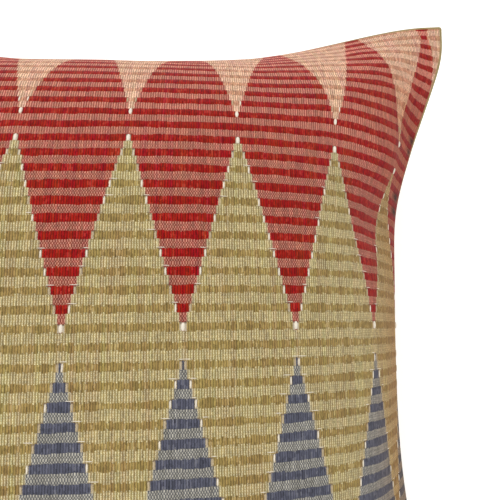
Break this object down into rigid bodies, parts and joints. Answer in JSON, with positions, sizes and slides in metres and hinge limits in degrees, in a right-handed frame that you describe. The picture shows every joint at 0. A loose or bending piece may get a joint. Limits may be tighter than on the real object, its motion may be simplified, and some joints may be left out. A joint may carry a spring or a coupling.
{
  "type": "cushion",
  "caption": "Plump square cushion with drawn-in sides and eared corners, in a ribbed tapestry weave of interlocking diamonds.",
  "frame": {"origin": "centre of the cushion's footprint, on the surface that it lies on", "axes": "+Z out of the patterned face; +Y towards the top of the pattern; +X to the pattern's right"},
  "size_m": [0.4444, 0.441, 0.176],
  "materials": {
    "woven_cover": "matte ribbed cotton weave"
  },
  "bodies": {
    "root": {"cushion": "woven_cover"}
  },
  "joints": []
}
